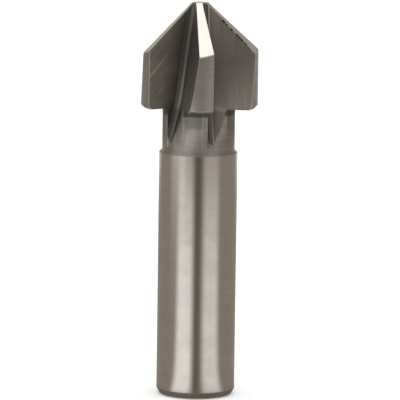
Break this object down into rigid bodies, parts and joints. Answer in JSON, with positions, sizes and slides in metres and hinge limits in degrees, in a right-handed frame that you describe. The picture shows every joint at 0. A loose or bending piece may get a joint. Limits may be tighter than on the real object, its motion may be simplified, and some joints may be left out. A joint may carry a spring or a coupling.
{
  "type": "countersink bit",
  "caption": "One-piece fluted countersink bit with a conical cutting head, a turned neck and a plain cylindrical shank, for sinking screw-head seats into drilled holes.",
  "frame": {"origin": "middle of the flat end face of the shank", "axes": "+Z along the tool axis from the shank end to the tip; -Y is the front, with one cutting edge 14.4 degrees round from it towards +X; +X is to the right seen from the front"},
  "size_m": [0.0119, 0.0116, 0.0403],
  "materials": {
    "tool_steel": "ground and turned high-speed steel, bright on the shank, darker in the flutes"
  },
  "bodies": {
    "root": {"countersink_bit": "tool_steel"}
  },
  "joints": []
}
